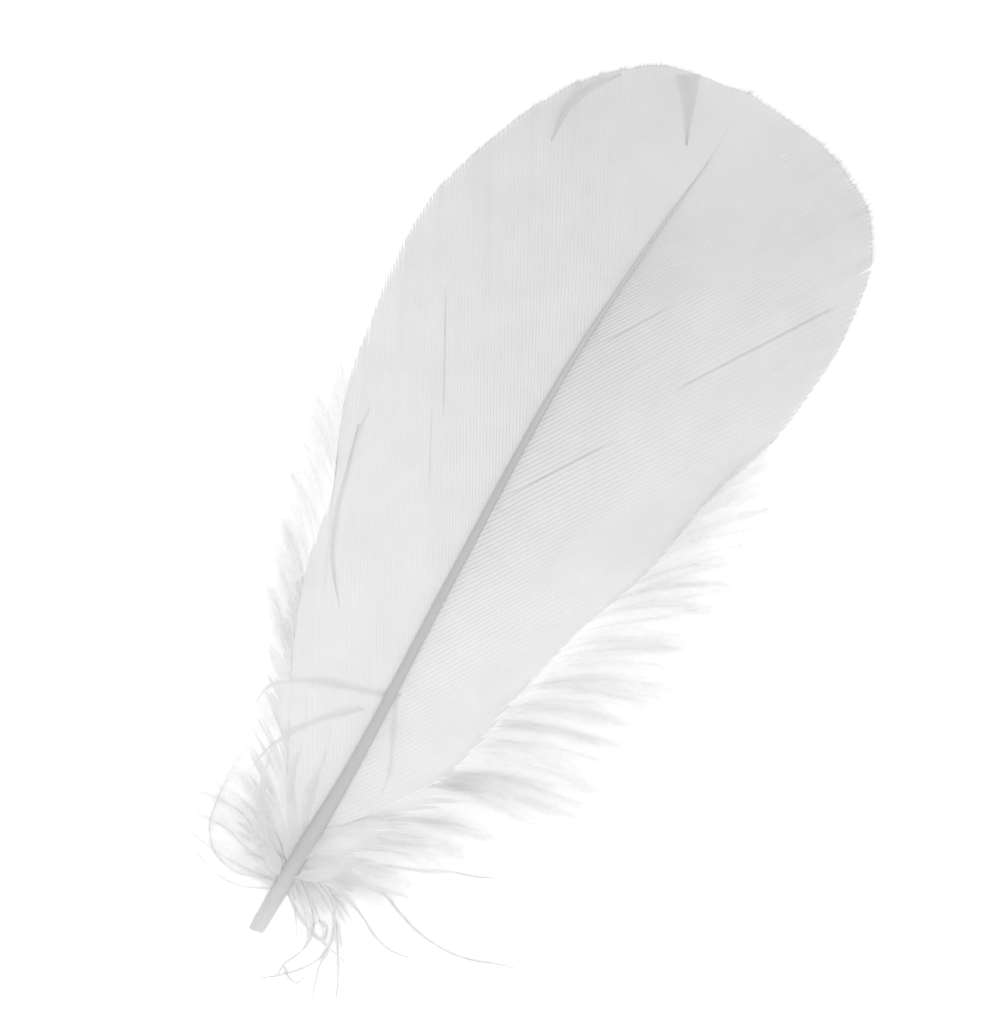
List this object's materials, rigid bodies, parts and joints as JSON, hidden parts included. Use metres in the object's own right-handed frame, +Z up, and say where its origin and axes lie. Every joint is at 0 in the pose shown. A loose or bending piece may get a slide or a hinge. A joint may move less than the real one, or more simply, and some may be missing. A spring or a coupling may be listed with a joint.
{
  "type": "goose feather",
  "caption": "White goose feather lying on its edges, outer side up: tapered quill, broad round-ended vane, loose down at its foot.",
  "frame": {"origin": "under the middle of the whole feather, on the surface that it lies on", "axes": "+Y from the quill's cut end towards the feather's tip, +Z up out of its outer side, +X to its right seen from above"},
  "size_m": [0.0652, 0.1275, 0.0075],
  "materials": {
    "vane": "closed vane of white keratin barbs, satin",
    "quill": "horn-like keratin tube, satin",
    "down": "loose white down, matt"
  },
  "bodies": {
    "root": {"feather": "vane"}
  },
  "joints": []
}
